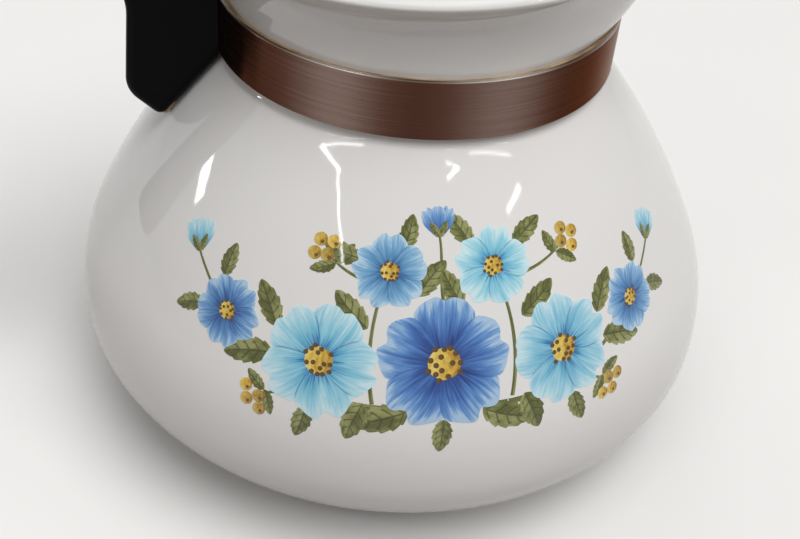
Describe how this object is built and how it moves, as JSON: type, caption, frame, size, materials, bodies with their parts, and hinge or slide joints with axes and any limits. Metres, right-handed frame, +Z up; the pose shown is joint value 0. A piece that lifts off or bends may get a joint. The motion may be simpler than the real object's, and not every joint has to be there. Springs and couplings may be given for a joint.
{
  "type": "coffee pot",
  "caption": "Squat white glazed coffee pot with pouring beak, steel neck band, black side handle, domed lid with clear glass knob, and lift-out percolating set.",
  "frame": {"origin": "middle of the vessel's flat base, on the surface that it stands on", "axes": "+Z up, handle towards -X, pouring beak towards +X, so the printed side faces -Y"},
  "size_m": [0.2137, 0.17, 0.1728],
  "materials": {
    "white_glaze": "glossy white glaze, smooth to the touch",
    "tan_liner": "tan cushion strip, matt",
    "band_steel": "stainless strap, brushed round its length",
    "black_moulding": "black moulded resin, satin",
    "fixing_steel": "plated steel",
    "clear_glass": "clear pressed glass",
    "pale_gasket": "pale soft ring",
    "nut_aluminium": "turned aluminium",
    "brewing_steel": "drawn stainless sheet and tube"
  },
  "bodies": {
    "pot": {"vessel": "white_glaze", "band_liner": "tan_liner", "neck_band": "band_steel", "handle_bracket": "fixing_steel", "handle": "black_moulding", "handle_screw": "fixing_steel", "handle_washer": "fixing_steel", "lock_washer": "fixing_steel", "handle_rest_pad": "tan_liner"},
    "pump": {"pump_stem": "brewing_steel", "pump_bell": "brewing_steel", "basket_stop": "brewing_steel"},
    "valve": {"valve_disc": "brewing_steel"},
    "basket": {"coffee_basket": "brewing_steel"},
    "cover": {"basket_cover": "brewing_steel"},
    "lid": {"lid": "white_glaze", "glass_knob": "clear_glass", "knob_gasket": "pale_gasket", "knob_collar": "black_moulding", "knob_nut": "nut_aluminium"}
  },
  "joints": [
    {"name": "pump_lift", "type": "slide", "parent": "pot", "child": "pump", "axis": [0, 0, 1], "range_m": [0, 0.16]},
    {"name": "valve_lift", "type": "slide", "parent": "pump", "child": "valve", "axis": [0, 0, 1], "range_m": [0, 0.0025]},
    {"name": "basket_lift", "type": "slide", "parent": "pump", "child": "basket", "axis": [0, 0, 1], "range_m": [0, 0.065]},
    {"name": "cover_lift", "type": "slide", "parent": "basket", "child": "cover", "axis": [0, 0, 1], "range_m": [0, 0.035]},
    {"name": "lid_lift", "type": "slide", "parent": "cover", "child": "lid", "axis": [0, 0, 1], "range_m": [0, 0.08]}
  ]
}
